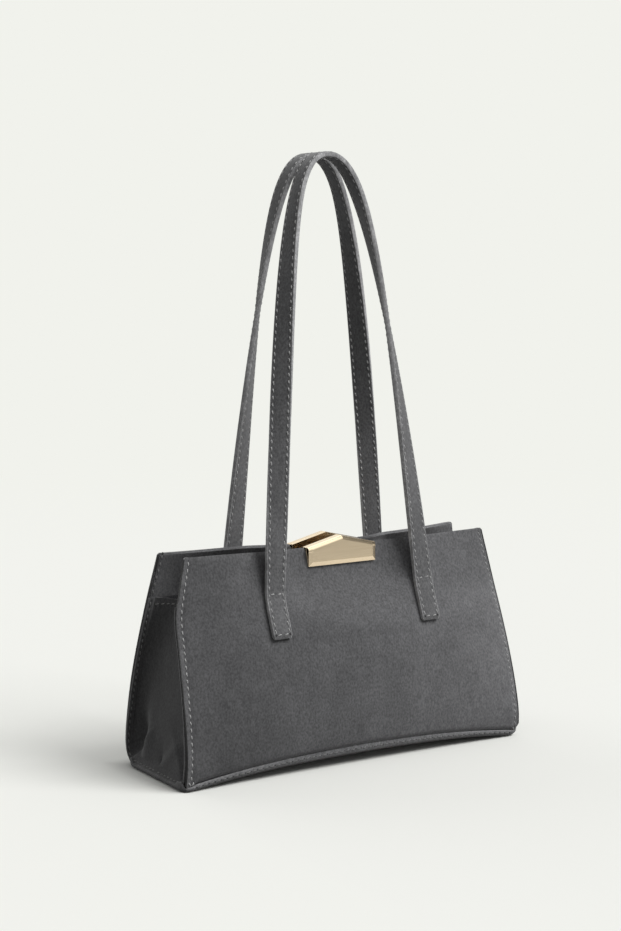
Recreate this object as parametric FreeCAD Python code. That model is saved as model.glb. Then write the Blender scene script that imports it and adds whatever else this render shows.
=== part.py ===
import FreeCAD, Part
import math
import os
from FreeCAD import Vector

# Baguette bag: a soft suede body on an arched base, two long straps and a two-part metal clasp.
# Millimetres. X runs along the bag, the front faces -Y and Z is up. The origin is on the floor
# under the middle of the bag.

# Body outline
BODY_HEIGHT = 150.0      # floor to the top edge of the panels
BASE_LENGTH = 274.0      # along the floor
BASE_DEPTH = 84.0        # between the side edges at the floor
TOP_DEPTH = 35.8         # between the side edges at the top
HIP_HEIGHT = 16.0        # where the side edges stand furthest apart
HIP_FLARE = 2.2          # each side edge at the hip, outside its place at the floor
NECK_DROP = 39.0         # neck, where the sides turn in, below the top edge
NECK_FLARE = 3.0         # each side edge at the neck, outside its place at the top
NECK_INSET = 7.1         # each end of the neck, inside the end of the base
TOP_INSET = 15.3         # each end of the top edge, inside the end of the base
HIP_CURVE = 1.5          # 1 makes the side edges straight, more makes them turn in late
BELLY_STRAP = 11.5       # swell beyond the side edges on the line of the straps
BELLY_MIDDLE = 13.8      # swell beyond the side edges in the middle
BELLY_CURVE = 1.41       # above 1 lifts the fullest height above the middle
BELLY_FADE = 1.2         # the swell would end this far above the top edge
PULL_DROP = 62.0         # from this far below the top edge the middle is drawn in to the clasp
FRONT_CLASP_OUT = 1.3    # front panel inside its clasp half, outside the side edges at the top
BACK_CLASP_IN = 10.4     # back panel inside its clasp half, inside the side edges at the top
FRONT_DRAW_IN = 0.8      # how far the top edge is pulled in on the line of the straps
BACK_DRAW_IN = 7.0
BODY_STEPS = 4           # bands between hip and neck

# Layers and seams
PANEL_EDGE = 4.0         # turned edge of a panel, suede round its stiffener
SUEDE = 1.6
STIFFENER_MARGIN = 5.0   # turned edge beyond the stiffener
LINING = 0.8
FACING = 1.2
GLUE = 0.15              # glue line between layers
SEAM_GAP = 0.7           # sewn seam above the base, where a panel leans out
BEND_GAP = 0.5           # bend line of the soft neck, above the top stitches of the straps
LINING_INSET = 9.0       # lining stops this far inside the side edges

# Base
ARCH_RISE = 7.1          # base lifts this far off the floor in the middle
PAD_LENGTH = 10.5        # flat end that stands on the floor
BASE_ROUND = 4.5         # round under each end
BASE_CORNER = 6.0        # plan corner
RIM_HEIGHT = 6.0         # rim turned up round the base
RIM_WALL = 3.6
BASE_FLOOR = 2.0
BOARD = 2.5
RIM_PROUD = 1.5          # rim stands this far outside the panels at the floor

# Gussets
HEM_DROP = 3.7           # hem below the top stitches of the straps
GUSSET = 1.4
GUSSET_INSET = 1.0       # gusset sits this far inside the panel ends
FOLD_LOW = 2.0           # inward fold at the base
FOLD_HIGH = 11.0         # inward fold at the hem

# Straps
STRAP_WIDTH = 14.5
STRAP_THICK = 2.8
STRAP_SPREAD = 120.4     # between the two feet of one strap
STITCH_DROP = 28.3       # top stitches of a strap below the top edge
STRAP_END = 28.7         # sewn end of a strap, below its top stitches
STRAP_RISE = 265.0       # crown of a strap above the top edge
SHOULDER_DROP = 60.0     # handles of the curve from a foot to the crown
STRAP_SHOULDER_X = 34.2
STRAP_CROWN_X = 34.2
STRAPS_MEET = 8.7        # between the two crowns
STRAP_CLEAR = 4.9        # gap between the two crowns
FRONT_STRAP_LEAN = 0.42  # share of the lean that is left at the shoulder
BACK_STRAP_LEAN = 0.35
TWIST_CURVE = 2.76       # above 1 turns a strap sooner near its foot
STRAP_STEPS = 14         # spans from a foot to the crown

# Clasp
CLASP_WIDTH = 54.4
CLASP_BELOW = 14.4       # clasp reaches this far below the top edge
CLASP_SHOULDER = 1.5     # shoulder below the top edge
CLASP_PEAK = 5.0         # ridge above the top edge
CLASP_FACE = 2.2         # front wall
CLASP_BEVEL = 1.9
CLASP_PLATE = 1.2
CLASP_FIT = 0.1          # clearance round the panel edge
CLASP_LAND = 2.8         # panel is flat this far beyond the clasp
CLASP_NOTCH = 6.6        # panel is cut down this far inside the clasp
MAGNET_LENGTH = 20.0
MAGNET_DEPTH = 3.4
MAGNET_HEIGHT = 4.2
SCREW_SPREAD = 32.0
SCREW_DROP = 10.2        # screws below the top edge
BOSS_RADIUS = 2.0
BOSS_CLEAR = 0.3
SCREW_RADIUS = 1.0
SCREW_CLEAR = 0.05
SCREW_REACH = 3.5
HEAD_RADIUS = 1.8
HEAD_HEIGHT = 0.75

# Slip pocket on the back lining
POCKET_WIDTH = 120.0
POCKET_HEIGHT = 58.0
POCKET_DROP = 50.0       # below the top edge

# Heights and depths that follow from these
NECK_HEIGHT = BODY_HEIGHT - NECK_DROP
PULL_HEIGHT = BODY_HEIGHT - PULL_DROP
CLASP_LOW = BODY_HEIGHT - CLASP_BELOW
STITCH_TOP = BODY_HEIGHT - STITCH_DROP
STITCH_LOW = STITCH_TOP - STRAP_END
NECK_LOW = STITCH_TOP + BEND_GAP
HEM_HEIGHT = STITCH_TOP - HEM_DROP
STRAP_TOP = BODY_HEIGHT + STRAP_RISE
STRAP_SHOULDER_Z = STRAP_TOP - SHOULDER_DROP
POCKET_HIGH = BODY_HEIGHT - POCKET_DROP
POCKET_LOW = POCKET_HIGH - POCKET_HEIGHT
STIFFENER_LOW = RIM_HEIGHT + ARCH_RISE + STIFFENER_MARGIN
STIFFENER_HIGH = STITCH_TOP - STIFFENER_MARGIN
NECK_LENGTH = BASE_LENGTH - 2 * NECK_INSET
TOP_LENGTH = BASE_LENGTH - 2 * TOP_INSET
HIP_DEPTH = BASE_DEPTH + 2 * HIP_FLARE
NECK_DEPTH = TOP_DEPTH + 2 * NECK_FLARE
BASE_OUTER_DEPTH = BASE_DEPTH + 2 * RIM_PROUD
FRONT_CLASP_DEPTH = TOP_DEPTH / 2 + FRONT_CLASP_OUT
BACK_CLASP_DEPTH = TOP_DEPTH / 2 - BACK_CLASP_IN
LAND_X = CLASP_WIDTH / 2 + CLASP_LAND
STRAP_X = STRAP_SPREAD / 2
FAR = 2 * BASE_LENGTH    # larger than the bag, for cutting boxes

FRONT = {"side": -1, "clasp_depth": FRONT_CLASP_DEPTH, "draw_in": FRONT_DRAW_IN,
         "strap_lean": FRONT_STRAP_LEAN}
BACK = {"side": 1, "clasp_depth": BACK_CLASP_DEPTH, "draw_in": BACK_DRAW_IN,
        "strap_lean": BACK_STRAP_LEAN}


def mix(a, b, t):
    return a + (b - a) * t


def smooth(t):
    t = min(max(t, 0.0), 1.0)
    return t * t * (3 - 2 * t)


# Outline of a panel


def half_length(z):
    if z < NECK_HEIGHT:
        return mix(BASE_LENGTH, NECK_LENGTH, z / NECK_HEIGHT) / 2
    return mix(NECK_LENGTH, TOP_LENGTH, (z - NECK_HEIGHT) / (BODY_HEIGHT - NECK_HEIGHT)) / 2


def edge_depth(z):
    if z < HIP_HEIGHT:
        return mix(BASE_DEPTH, HIP_DEPTH, z / HIP_HEIGHT) / 2
    if z < NECK_HEIGHT:
        rise = (z - HIP_HEIGHT) / (NECK_HEIGHT - HIP_HEIGHT)
        return mix(HIP_DEPTH, NECK_DEPTH, rise ** HIP_CURVE) / 2
    return mix(NECK_DEPTH, TOP_DEPTH, (z - NECK_HEIGHT) / (BODY_HEIGHT - NECK_HEIGHT)) / 2


def swell(z):
    return math.sin(math.pi * (z / (BODY_HEIGHT + BELLY_FADE)) ** BELLY_CURVE)


def strap_line_depth(panel, z):
    drawn = max(0.0, z - STITCH_TOP) / (BODY_HEIGHT - STITCH_TOP)
    return edge_depth(z) + BELLY_STRAP * swell(z) - panel["draw_in"] * drawn


def middle_depth(panel, z):
    low = min(z, PULL_HEIGHT)
    body = edge_depth(low) + BELLY_MIDDLE * swell(low)
    return mix(body, panel["clasp_depth"], smooth((z - PULL_HEIGHT) / (CLASP_LOW - PULL_HEIGHT)))


def body_stations():
    """Heights of the panel sections: faces run straight from one to the next."""
    rise = (NECK_HEIGHT - HIP_HEIGHT) / BODY_STEPS
    heights = [BASE_FLOOR] + [HIP_HEIGHT + rise * k for k in range(BODY_STEPS + 1)]
    heights += [STITCH_LOW, STITCH_TOP, NECK_LOW, CLASP_LOW, BODY_HEIGHT]
    stations = [BASE_FLOOR]
    for z in sorted(heights):
        if z > stations[-1] + GLUE:
            stations.append(z)
    return stations


STATIONS = body_stations()


def along_height(depth_at, z):
    """Value at a height between two stations, on the straight line between them."""
    for low, high in zip(STATIONS, STATIONS[1:]):
        if z <= high:
            return mix(depth_at(low), depth_at(high), (z - low) / (high - low))
    return depth_at(STATIONS[-1])


def point_on_panel(panel, x, z, inward):
    """Point of a panel, inward from its outer face by a depth along Y."""
    reach = along_height(half_length, z)
    middle = along_height(lambda h: middle_depth(panel, h), z)
    strap = along_height(lambda h: strap_line_depth(panel, h), z)
    edge = along_height(edge_depth, z)
    away = abs(x)
    if away <= LAND_X:
        depth = middle
    elif away <= STRAP_X:
        depth = mix(middle, strap, (away - LAND_X) / (STRAP_X - LAND_X))
    else:
        depth = mix(strap, edge, ((away - STRAP_X) / (reach - STRAP_X)) ** 2)
    return Vector(x, panel["side"] * (depth - inward), z)


def line(a, b):
    return Part.LineSegment(a, b).toShape()


def arc(a, b, c):
    return Part.Arc(a, b, c).toShape()


def panel_face_edges(panel, z, inward, inset):
    """Edges of a panel section from its left end to its right end."""
    reach = along_height(half_length, z) - inset
    between = (reach + STRAP_X) / 2
    left_end, left_mid, left_strap, left_land, right_land, right_strap, right_mid, right_end = [
        point_on_panel(panel, x, z, inward)
        for x in (-reach, -between, -STRAP_X, -LAND_X, LAND_X, STRAP_X, between, reach)]
    return [arc(left_end, left_mid, left_strap), line(left_strap, left_land),
            line(left_land, right_land), line(right_land, right_strap),
            arc(right_strap, right_mid, right_end)], left_end, right_end


def panel_layer(panel, near, far, low, high, inset=0.0):
    """Solid layer of a panel between two depths from its outer face and two heights."""
    heights = [low] + [z for z in STATIONS if low + GLUE < z < high - GLUE] + [high]
    sections = []
    for z in heights:
        outer, outer_left, outer_right = panel_face_edges(panel, z, near, inset)
        inner, inner_left, inner_right = panel_face_edges(panel, z, far, inset)
        edges = outer + [line(outer_right, inner_right)] + inner[::-1] + [line(inner_left, outer_left)]
        sections.append(Part.Wire(Part.__sortEdges__(edges)))
    return Part.makeLoft(sections, True, True)


def block(x0, x1, y0, y1, z0, z1):
    return Part.makeBox(x1 - x0, y1 - y0, z1 - z0, Vector(x0, y0, z0))


# Base


def arch_band(low, high, reach, half_depth, end_round=0.0):
    """Band that follows the arched underside of the base, between two lifts above it."""
    pad = BASE_LENGTH / 2 - BASE_ROUND - PAD_LENGTH

    def p(x, z):
        return Vector(x, -half_depth, z)

    edges = [line(p(-reach + end_round, low), p(-pad, low)),
             arc(p(-pad, low), p(0, low + ARCH_RISE), p(pad, low)),
             line(p(pad, low), p(reach - end_round, low)),
             line(p(reach, low + end_round), p(reach, high)),
             line(p(reach, high), p(pad, high)),
             arc(p(pad, high), p(0, high + ARCH_RISE), p(-pad, high)),
             line(p(-pad, high), p(-reach, high)),
             line(p(-reach, high), p(-reach, low + end_round))]
    if end_round:
        inner = end_round * (1 - math.sqrt(0.5))
        edges.append(arc(p(reach - end_round, low), p(reach - inner, low + inner),
                         p(reach, low + end_round)))
        edges.append(arc(p(-reach, low + end_round), p(-reach + inner, low + inner),
                         p(-reach + end_round, low)))
    outline = Part.Wire(Part.__sortEdges__(edges))
    return Part.Face(outline).extrude(Vector(0, 2 * half_depth, 0))


def base_panel():
    half = BASE_LENGTH / 2
    depth = BASE_OUTER_DEPTH / 2
    tray = arch_band(0, RIM_HEIGHT, half, depth, BASE_ROUND)
    plan = block(-half, half, -depth, depth, -FAR, FAR)
    uprights = [e for e in plan.Edges if abs(e.Vertexes[0].Z - e.Vertexes[1].Z) > FAR]
    tray = tray.common(plan.makeFillet(BASE_CORNER, uprights))
    hollow = arch_band(BASE_FLOOR, 2 * RIM_HEIGHT, half - RIM_WALL, depth - RIM_WALL)
    return tray.cut(hollow)


def base_layer(low, thickness):
    margin = RIM_WALL + 2 * GLUE
    return arch_band(low, low + thickness, BASE_LENGTH / 2 - margin, BASE_OUTER_DEPTH / 2 - margin)


# Gussets


def gusset_layer(side, near, thickness, low, high):
    """Gusset wall folded inwards between the two panels. near is its depth below the outer face."""
    heights = [low] + [z for z in STATIONS if low + GLUE < z < high - GLUE] + [high]
    sections = []
    for z in heights:
        reach = along_height(half_length, z) - GUSSET_INSET
        half = along_height(edge_depth, z) - PANEL_EDGE - GLUE
        fold = mix(FOLD_LOW, FOLD_HIGH, z / HEM_HEIGHT)

        def p(inward, y):
            return Vector(side * (reach - inward), y, z)

        far = near + thickness
        outer = arc(p(2 * near, -half), p(fold + near, 0), p(2 * near, half))
        inner = arc(p(2 * far, half), p(fold + far, 0), p(2 * far, -half))
        edges = [outer, line(p(2 * near, half), p(2 * far, half)), inner,
                 line(p(2 * far, -half), p(2 * near, -half))]
        sections.append(Part.Wire(edges))
    return Part.makeLoft(sections, True, True)


# Straps


def strap_route(panel, t):
    """Point and direction of a strap's middle line, from its left foot at 0 to its right foot at 1."""
    side = panel["side"]
    foot_y = abs(point_on_panel(panel, STRAP_X, STITCH_TOP, -GLUE - STRAP_THICK / 2).y) * side
    crown_y = STRAPS_MEET + side * (STRAP_WIDTH + STRAP_CLEAR) / 2
    handles = [Vector(-STRAP_X, foot_y, NECK_LOW),
               Vector(-STRAP_SHOULDER_X, mix(crown_y, foot_y, panel["strap_lean"]), STRAP_SHOULDER_Z),
               Vector(-STRAP_CROWN_X, crown_y, STRAP_TOP),
               Vector(0, crown_y, STRAP_TOP)]
    leg = 1 - abs(2 * t - 1)
    weights = [(1 - leg) ** 3, 3 * leg * (1 - leg) ** 2, 3 * leg ** 2 * (1 - leg), leg ** 3]
    slopes = [-(1 - leg) ** 2, (1 - leg) * (1 - 3 * leg), leg * (2 - 3 * leg), leg ** 2]
    point = Vector(0, 0, 0)
    along = Vector(0, 0, 0)
    for handle, weight, slope in zip(handles, weights, slopes):
        point = point + handle * weight
        along = along + handle * slope
    if t > 0.5:
        point = Vector(-point.x, point.y, point.z)
        along = Vector(along.x, -along.y, -along.z)
    return point, along.normalize()


def strap_section(panel, t, low, high):
    """Rectangle across a strap between two offsets from its middle line. Positive is outwards."""
    point, along = strap_route(panel, t)
    leg = 1 - abs(2 * t - 1)
    if leg == 0:
        along = Vector(0, 0, math.copysign(1, along.z))
    turn = math.radians(90) * (1 - (1 - leg) ** TWIST_CURVE)
    if t > 0.5:
        turn = math.pi - turn
    across = Vector(math.cos(turn), panel["side"] * math.sin(turn), 0)
    across = (across - along * across.dot(along)).normalize()
    out = along.cross(across) * panel["side"]
    half = STRAP_WIDTH / 2
    corners = [point + across * a + out * b
               for a, b in ((-half, low), (half, low), (half, high), (-half, high))]
    return Part.makePolygon(corners + corners[:1])


def strap_layer(panel, low, high):
    count = 2 * STRAP_STEPS
    return Part.makeLoft([strap_section(panel, k / count, low, high) for k in range(count + 1)],
                         True, True)


def strap_end(panel, x):
    """Sewn end of a strap, lying on the panel below the top stitches."""
    sheet = panel_layer(panel, -GLUE - STRAP_THICK, -GLUE, STITCH_LOW, STITCH_TOP)
    return sheet.common(block(x - STRAP_WIDTH / 2, x + STRAP_WIDTH / 2, -FAR, FAR, 0, BODY_HEIGHT))


# Clasp, drawn for the front: the panel's outer face is at y = 0 and the top edge at z = 0


def on_panel(panel, shape):
    """Turns a shape drawn for the front to its panel and puts it on the panel's outer face."""
    placed = shape.copy()
    if panel["side"] > 0:
        placed.rotate(Vector(0, 0, 0), Vector(0, 0, 1), 180)
    placed.translate(Vector(0, panel["side"] * panel["clasp_depth"], BODY_HEIGHT))
    return placed


def clasp_inside():
    """Depth of the clasp plate's outer face, inside the facing."""
    return PANEL_EDGE + GLUE + FACING + CLASP_FIT


def house(y0, y1, inset=0.0):
    """Five-sided clasp outline, extruded from y0 to y1."""
    half = CLASP_WIDTH / 2 - inset
    points = [Vector(-half, y0, -CLASP_BELOW + inset), Vector(half, y0, -CLASP_BELOW + inset),
              Vector(half, y0, -CLASP_SHOULDER - inset), Vector(0, y0, CLASP_PEAK - inset),
              Vector(-half, y0, -CLASP_SHOULDER - inset)]
    return Part.Face(Part.makePolygon(points + points[:1])).extrude(Vector(0, y1 - y0, 0))


def rod(x, y0, y1, radius):
    return Part.makeCylinder(radius, y1 - y0, Vector(x, y0, -SCREW_DROP), Vector(0, 1, 0))


SCREW_XS = (-SCREW_SPREAD / 2, SCREW_SPREAD / 2)


def magnet(clearance=0.0):
    top = -CLASP_SHOULDER + clearance
    half = MAGNET_LENGTH / 2 + clearance
    inner = clasp_inside() - CLASP_FIT + clearance
    return block(-half, half, inner - MAGNET_DEPTH - 2 * clearance, inner,
                 top - MAGNET_HEIGHT - 2 * clearance, top)


def clasp_cap():
    face_y = -CLASP_FIT - CLASP_FACE
    inside = clasp_inside()
    cap = house(face_y, inside - CLASP_FIT)
    rim = [e for e in cap.Edges if all(abs(v.Y - face_y) < GLUE for v in e.Vertexes)]
    cap = cap.makeChamfer(CLASP_BEVEL, rim)
    slot = block(-CLASP_WIDTH, CLASP_WIDTH, -CLASP_FIT, inside, -2 * CLASP_BELOW, -CLASP_NOTCH + CLASP_FIT)
    cap = cap.cut(slot)
    for x in SCREW_XS:
        cap = cap.fuse(rod(x, -CLASP_FIT, inside - CLASP_FIT, BOSS_RADIUS))
        cap = cap.cut(rod(x, inside - SCREW_REACH, inside, SCREW_RADIUS + SCREW_CLEAR))
    return cap.cut(magnet(CLASP_FIT)).removeSplitter()


def clasp_plate():
    inside = clasp_inside()
    plate = house(inside, inside + CLASP_PLATE, CLASP_FIT)
    seat = inside + CLASP_PLATE - HEAD_HEIGHT - SCREW_CLEAR
    for x in SCREW_XS:
        plate = plate.cut(rod(x, 0, 2 * inside, SCREW_RADIUS + SCREW_CLEAR))
        plate = plate.cut(rod(x, seat, 2 * inside, HEAD_RADIUS + SCREW_CLEAR))
    return plate


def clasp_screws():
    inside = clasp_inside()
    head = inside + CLASP_PLATE - HEAD_HEIGHT
    screws = []
    for x in SCREW_XS:
        shank = rod(x, inside - SCREW_REACH + SCREW_CLEAR, head, SCREW_RADIUS)
        screws.append(shank.fuse(rod(x, head, inside + CLASP_PLATE, HEAD_RADIUS)).removeSplitter())
    return Part.makeCompound(screws)


# Panels with their linings


def clasp_room(panel):
    """Notch in the top edge and the two holes that the clasp needs."""
    wide = CLASP_WIDTH / 2 + CLASP_FIT
    room = block(-wide, wide, -FAR, FAR, -CLASP_NOTCH, BODY_HEIGHT)
    for x in SCREW_XS:
        room = room.fuse(rod(x, -CLASP_FACE, clasp_inside(), BOSS_RADIUS + BOSS_CLEAR))
    return on_panel(panel, room)


def stiffener_room(panel):
    """Space behind the suede, open towards the lining, that the stiffener lies in."""
    return panel_layer(panel, SUEDE, PANEL_EDGE + GLUE, STIFFENER_LOW, STIFFENER_HIGH, STIFFENER_MARGIN)


def stiffener(panel):
    return panel_layer(panel, SUEDE + GLUE, PANEL_EDGE - GLUE, STIFFENER_LOW + GLUE,
                       STIFFENER_HIGH - GLUE, STIFFENER_MARGIN + GLUE)


def lower_panel(panel):
    shell = panel_layer(panel, 0, PANEL_EDGE, BASE_FLOOR, STITCH_TOP)
    below = arch_band(-RIM_HEIGHT, RIM_HEIGHT + SEAM_GAP, BASE_LENGTH, BASE_DEPTH)
    return shell.cut(below).cut(stiffener_room(panel))


def lining_layer(panel):
    low = BASE_FLOOR + BOARD + LINING + RIM_HEIGHT + ARCH_RISE
    near = PANEL_EDGE + GLUE
    return panel_layer(panel, near, near + LINING, low, STITCH_TOP, LINING_INSET)


def neck_panel(panel):
    return panel_layer(panel, 0, PANEL_EDGE, NECK_LOW, BODY_HEIGHT).cut(clasp_room(panel))


def facing_layer(panel):
    near = PANEL_EDGE + GLUE
    strip = panel_layer(panel, near, near + FACING, NECK_LOW, BODY_HEIGHT, PANEL_EDGE)
    return strip.cut(clasp_room(panel))


def slip_pocket(panel):
    near = PANEL_EDGE + LINING + 2 * GLUE
    sheet = panel_layer(panel, near, near + LINING, POCKET_LOW, POCKET_HIGH, LINING_INSET)
    return sheet.common(block(-POCKET_WIDTH / 2, POCKET_WIDTH / 2, -FAR, FAR, 0, BODY_HEIGHT))


def panel_pieces(name, panel):
    half = STRAP_THICK / 2
    split = GLUE / 2
    return {
        name + "_panel": lower_panel(panel),
        name + "_stiffener": stiffener(panel),
        name + "_lining": lining_layer(panel),
        name + "_neck": neck_panel(panel),
        name + "_facing": facing_layer(panel),
        name + "_strap_left_end": strap_end(panel, -STRAP_X),
        name + "_strap_right_end": strap_end(panel, STRAP_X),
        name + "_strap_outer": strap_layer(panel, split, half),
        name + "_strap_backing": strap_layer(panel, -half, -split),
        name + "_clasp_cap": on_panel(panel, clasp_cap()),
        name + "_clasp_plate": on_panel(panel, clasp_plate()),
        name + "_clasp_magnet": on_panel(panel, magnet()),
        name + "_clasp_screws": on_panel(panel, clasp_screws()),
    }


def all_pieces():
    board_low = BASE_FLOOR + GLUE
    lining_low = board_low + BOARD + GLUE
    gusset_low = RIM_HEIGHT + GLUE
    lining_start = gusset_low + STIFFENER_MARGIN
    lining_stop = HEM_HEIGHT - STIFFENER_MARGIN
    pieces = {
        "base_panel": base_panel(),
        "base_board": base_layer(board_low, BOARD),
        "base_lining": base_layer(lining_low, LINING),
        "slip_pocket": slip_pocket(BACK),
    }
    for name, side in (("left", -1), ("right", 1)):
        pieces[name + "_gusset"] = gusset_layer(side, 0, GUSSET, gusset_low, HEM_HEIGHT)
        pieces[name + "_gusset_lining"] = gusset_layer(side, GUSSET + GLUE, LINING,
                                                       lining_start, lining_stop)
    pieces.update(panel_pieces("front", FRONT))
    pieces.update(panel_pieces("back", BACK))
    return pieces


def main():
    os.makedirs("parts", exist_ok=True)
    for node, shape in all_pieces().items():
        shape.exportStep("parts/" + node + ".step")
        box = shape.BoundBox
        print(f"{node:24s} solids {len(shape.Solids)} volume {shape.Volume:9.1f} valid {shape.isValid()}"
              f" x {box.XMin:.1f} {box.XMax:.1f} y {box.YMin:.1f} {box.YMax:.1f}"
              f" z {box.ZMin:.1f} {box.ZMax:.1f}")


main()
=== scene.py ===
import math

import bmesh
import bpy
from mathutils import Matrix, Vector
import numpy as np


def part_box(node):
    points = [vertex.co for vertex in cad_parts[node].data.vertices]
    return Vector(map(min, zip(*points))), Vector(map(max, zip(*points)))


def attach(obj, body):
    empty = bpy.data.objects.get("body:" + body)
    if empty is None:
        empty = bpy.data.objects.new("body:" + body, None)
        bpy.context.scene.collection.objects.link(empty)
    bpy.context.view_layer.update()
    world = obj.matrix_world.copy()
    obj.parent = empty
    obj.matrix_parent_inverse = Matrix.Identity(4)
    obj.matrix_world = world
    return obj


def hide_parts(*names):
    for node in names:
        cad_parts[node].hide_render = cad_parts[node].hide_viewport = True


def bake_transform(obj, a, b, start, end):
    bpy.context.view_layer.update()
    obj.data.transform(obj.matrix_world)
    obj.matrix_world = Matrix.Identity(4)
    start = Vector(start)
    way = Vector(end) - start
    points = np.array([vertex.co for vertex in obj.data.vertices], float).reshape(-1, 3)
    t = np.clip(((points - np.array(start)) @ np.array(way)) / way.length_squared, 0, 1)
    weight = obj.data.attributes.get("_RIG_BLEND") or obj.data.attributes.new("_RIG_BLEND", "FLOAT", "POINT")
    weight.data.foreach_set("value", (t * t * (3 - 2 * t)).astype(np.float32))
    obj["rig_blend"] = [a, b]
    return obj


# Baguette bag in grey suede: two soft panels on an arched base, folded gussets, two twisted straps
# and a two-part gold clasp. Metres. X runs along the bag, the front faces -Y and Z is up.

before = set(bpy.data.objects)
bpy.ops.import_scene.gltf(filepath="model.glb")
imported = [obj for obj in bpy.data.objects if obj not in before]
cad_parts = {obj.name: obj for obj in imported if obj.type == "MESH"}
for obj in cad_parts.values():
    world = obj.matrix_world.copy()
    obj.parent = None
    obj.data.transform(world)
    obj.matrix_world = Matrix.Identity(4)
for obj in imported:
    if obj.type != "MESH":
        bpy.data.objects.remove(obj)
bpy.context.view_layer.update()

MM = 0.001

# Places taken from the frame
BODY_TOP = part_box("front_neck")[1].z
BASE_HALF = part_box("base_panel")[1].x
RIM_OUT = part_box("base_panel")[1].y
SEWN_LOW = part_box("front_strap_left_end")[0].z
SEWN_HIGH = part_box("front_strap_left_end")[1].z
STRAP_X = (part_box("front_strap_right_end")[0].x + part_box("front_strap_right_end")[1].x) / 2
STRAP_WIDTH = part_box("front_strap_right_end")[1].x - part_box("front_strap_right_end")[0].x
HEM_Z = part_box("left_gusset")[1].z
CLASP_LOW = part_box("front_clasp_cap")[0].z
CLASP_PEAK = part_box("front_clasp_cap")[1].z
CLASP_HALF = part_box("front_clasp_cap")[1].x

# Outline of a panel
NECK_Z = BODY_TOP - 39 * MM
NECK_HALF = BASE_HALF - 7.1 * MM
TOP_HALF = BASE_HALF - 15.3 * MM
FLOOR_EDGE = 42.0 * MM
HIP_EDGE = 44.2 * MM
NECK_EDGE = 20.9 * MM
TOP_EDGE = 17.9 * MM
HIP_Z = 16 * MM
HIP_CURVE = 1.5
TURN_SOFT = 7 * MM
BELLY_STRAP = 11.5 * MM
BELLY_MIDDLE = 13.8 * MM
BELLY_CURVE = 1.41
BELLY_END = BODY_TOP + 1.2 * MM
PULL_Z = BODY_TOP - 62 * MM
LAND_X = CLASP_HALF + 2.8 * MM
TOP_DIP = 1.5 * MM
TOP_CORNER = 1.3 * MM
NOTCH_IN = 1.2 * MM
NOTCH_SOFT = 2 * MM
PANEL_LOW = 3.0 * MM
EDGE_IN_TOP = 75 * MM
STRIP = 8 * MM
STRIP_SOFT = 1.2 * MM

# Suede of a panel, and where it is painted paler: rubbed nap, and painted light and highlights on its edges
PANEL_THICK = 2.4 * MM
EDGE_ZONE = 11 * MM
EDGE_COLUMNS = 9
FIELD_COLUMNS = 116
PANEL_ROWS = 88
EDGE_ROUND = 1.0 * MM
# Painted light: paler side strips along the turned side edges, and a painted highlight along the top edge that
# reaches deeper on the left.
SIDE_PAINTED_LIGHT = 2.6 * MM
SIDE_PAINTED_LIGHT_SOFT = 1.4 * MM
TOP_HIGHLIGHT = 0.35
TOP_HIGHLIGHT_DEEP = 2 * MM
LEFT_HIGHLIGHT_DEEP = 5.5 * MM

# Stitches, and the rows and tacks down the side edges of a panel
STITCH_LONG = 3.1 * MM
STITCH_RADIUS = 0.45 * MM
STITCH_TAPER = 0.45
STITCH_RISE = 0.35
STITCH_DIP = 0.55 * MM
STITCH_SLANT = math.radians(11)
# Flat dark cone at each hole between stitches, a painted shade
HOLE_RADIUS = 0.8 * MM
HOLE_DEEP = 0.2 * MM
LAST_HOLE = 0.9999
STITCH_IN = 3.4 * MM
STITCH_SINK = 0.55 * MM
STITCH_SPREAD = 1.3 * MM
STITCH_PITCH = 4.6 * MM
INNER_STITCH_IN = 2.0 * MM
INNER_STITCH_LIFT = 0.25 * MM
EDGE_ROW_LOW = 4 * MM
EDGE_ROW_END = 2 * MM
TACK_UP = 2.6 * MM
TACK_APART = 1.1 * MM
TACK_LEAN = 0.55
TACK_LIFT = 0.2 * MM

# Facing, lining and pocket
FACING_THICK = 0.9 * MM
FACING_GAP = 0.2 * MM
FACING_IN = 1.0 * MM
FACING_LOW = SEWN_HIGH - 4 * MM
FACING_DROP = 0.9 * MM
FACING_PAINTED_LIGHT = 4 * MM
LINING_THICK = 0.5 * MM
LINING_IN = 9 * MM
LINING_GAP = 0.5 * MM
LINING_LOW = 8 * MM
LINING_TOP = SEWN_HIGH - 2 * MM
POCKET_THICK = 0.7 * MM
POCKET_OFF = 1.2 * MM
POCKET_SLACK = 2.2 * MM

# Base
ARCH_RISE = 7.1 * MM
ARCH_FULL = 2.5
PAD_X = BASE_HALF - 3 * MM
RIM_HIGH = 6.0 * MM
RIM_LOW = 3.9 * MM
RIM_FALL = 1.2
END_RIM = 3.2 * MM
RIGHT_RIM = 1.5 * MM
RIGHT_LIFT = 2.8 * MM
RIGHT_IN = 0.8 * MM
CLOSED_CORNER = 3.6 * MM
CLOSED_TURN = 0.75
CLOSED_TURN_SOFT = 0.15
CLOSED_LONG = 15 * MM
CLOSED_SOFT = 8 * MM
END_LOW = 0.6 * MM
# Beyond this the base's ends take the darker copy of the suede, a painted shade
SHADED_END_X = BASE_HALF - 2 * MM
RIM_THICK = 1.8 * MM
RIM_LAND = 0.7 * MM
# Painted highlight along the top of the base's rim
RIM_HIGHLIGHT = 1.2 * MM
RIM_HIGHLIGHT_SOFT = 1.0 * MM
FRONT_CORNER = 7 * MM
BACK_CORNER = 13 * MM
CORNER_STEPS = 8
RIM_ROUND = 2.6 * MM
ROUND_STEPS = 4
RIM_STEP = 1.6 * MM
TRAY_HALF = BASE_HALF + 1.0 * MM
BASE_ROW_HALF = BASE_HALF - STRIP - 1 * MM
BASE_ROW_UP = 0.6
BASE_CLOTH_IN = 3.0 * MM
BASE_CLOTH_LIFT = 1.2 * MM
BASE_CLOTH_THICK = 0.6 * MM
TUCK = 2.0 * MM
TUCK_RISE = 2.4 * MM

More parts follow.
